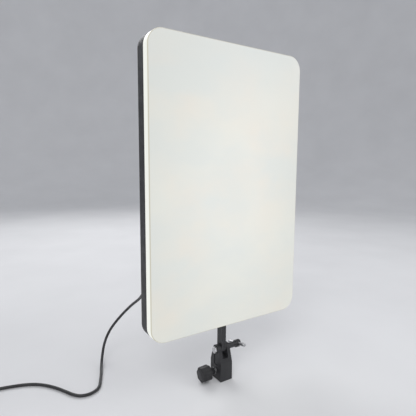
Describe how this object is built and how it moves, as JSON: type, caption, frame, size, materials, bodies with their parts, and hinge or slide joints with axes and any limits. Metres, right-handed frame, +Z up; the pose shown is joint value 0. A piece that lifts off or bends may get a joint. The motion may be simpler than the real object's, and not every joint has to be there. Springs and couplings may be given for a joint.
{
  "type": "led panel light",
  "caption": "Flat rectangular lamp panel with an opal front, rear controls and a tilting stand bracket with a lock knob, T-handle and mains lead.",
  "frame": {"origin": "centre of the bracket's bottom face, on the axis of its stand socket", "axes": "+Z up, -Y the way the lit face looks, +X to the right of someone who faces the lit face, along the tilt axis"},
  "size_m": [0.6972, 0.2476, 0.678],
  "materials": {
    "opal_diffuser": "satin opal acrylic, lit from behind",
    "white_plastic": "matte",
    "black_plastic": "fine moulded grain",
    "black_bracket": "satin black paint on a casting",
    "rubber": "matte",
    "steel": "zinc plated",
    "aluminium": "satin",
    "board": "solder mask",
    "led_board": "white solder mask",
    "window": "smoked clear",
    "cord_jacket": "soft PVC"
  },
  "bodies": {
    "bracket": {"bracket_body": "black_bracket", "friction_washer_left": "rubber", "friction_washer_right": "rubber", "tilt_bolt": "steel", "power_cord": "cord_jacket", "cord_coil": "cord_jacket", "coil_tie": "rubber", "mains_plug": "rubber", "plug_pin_1": "steel", "plug_pin_2": "steel"},
    "light_head": {"diffuser_cover": "opal_diffuser", "diffusion_sheet": "white_plastic", "spacer_frame": "white_plastic", "led_plate": "aluminium", "led_strip_1": "led_board", "led_strip_2": "led_board", "led_strip_3": "led_board", "led_strip_4": "led_board", "led_strip_5": "led_board", "led_strip_6": "led_board", "led_strip_7": "led_board", "led_strip_8": "led_board", "rear_housing": "black_plastic", "housing_screw_1": "steel", "housing_screw_2": "steel", "housing_screw_3": "steel", "housing_screw_4": "steel", "driver_board": "board", "driver_transformer": "black_plastic", "driver_heatsink": "aluminium", "driver_capacitor": "black_plastic", "driver_terminal": "white_plastic", "tongue_nut_block": "aluminium", "tilt_tongue": "black_bracket", "tongue_screw_1": "steel", "tongue_screw_2": "steel", "control_pod": "black_plastic", "control_board": "board", "display_window": "window", "display_module": "black_plastic", "mains_inlet": "black_plastic", "inlet_plug": "rubber", "strain_relief": "rubber", "brightness_encoder": "steel", "colour_encoder": "steel", "button_switch": "steel", "switch_frame": "black_plastic"},
    "tilt_handle": {"tilt_handle_hub": "black_bracket", "tilt_handle_bar": "steel"},
    "lock_pad": {"pressure_pad": "aluminium"},
    "lock_knob": {"lock_knob": "black_plastic", "lock_collar": "steel", "lock_screw": "steel", "knob_cap": "black_bracket"},
    "brightness_dial": {"brightness_dial": "black_plastic", "brightness_shaft": "aluminium"},
    "colour_dial": {"colour_dial": "black_plastic", "colour_shaft": "aluminium"},
    "mode_button": {"mode_button": "white_plastic"},
    "power_rocker": {"power_rocker": "black_plastic"}
  },
  "joints": [
    {"name": "tilt_hinge", "type": "hinge", "parent": "bracket", "child": "light_head", "pos_m": [0, 0, 0.064], "axis": [1, 0, 0], "range_deg": [-90, 90], "deforming": ["power_cord"]},
    {"name": "tilt_handle_turn", "type": "hinge", "parent": "bracket", "child": "tilt_handle", "pos_m": [0.041, 0, 0.064], "axis": [1, 0, 0], "range_deg": [0, 180]},
    {"name": "lock_pad_slide", "type": "slide", "parent": "bracket", "child": "lock_pad", "axis": [1, 0, 0], "range_m": [0, 0.0025]},
    {"name": "lock_knob_turn", "type": "hinge", "parent": "lock_pad", "child": "lock_knob", "pos_m": [-0.0425, 0, 0.019], "axis": [1, 0, 0], "range_deg": [0, 720]},
    {"name": "brightness_turn", "type": "hinge", "parent": "light_head", "child": "brightness_dial", "pos_m": [0.036, 0.0285, 0.192], "axis": [0, 1, 0], "continuous": true},
    {"name": "colour_turn", "type": "hinge", "parent": "light_head", "child": "colour_dial", "pos_m": [0.008, 0.0285, 0.192], "axis": [0, 1, 0], "continuous": true},
    {"name": "mode_press", "type": "slide", "parent": "light_head", "child": "mode_button", "axis": [0, -1, 0], "range_m": [0, 0.0008], "stiffness_N_per_m": 800},
    {"name": "power_rocker_tilt", "type": "hinge", "parent": "light_head", "child": "power_rocker", "pos_m": [-0.032, 0.0235, 0.234], "axis": [0, 0, 1], "range_deg": [-16, 0]}
  ],
  "couplings": [
    {"joint": "lock_knob_turn", "follows": "lock_pad_slide", "rad_per_m": 5026.5}
  ]
}
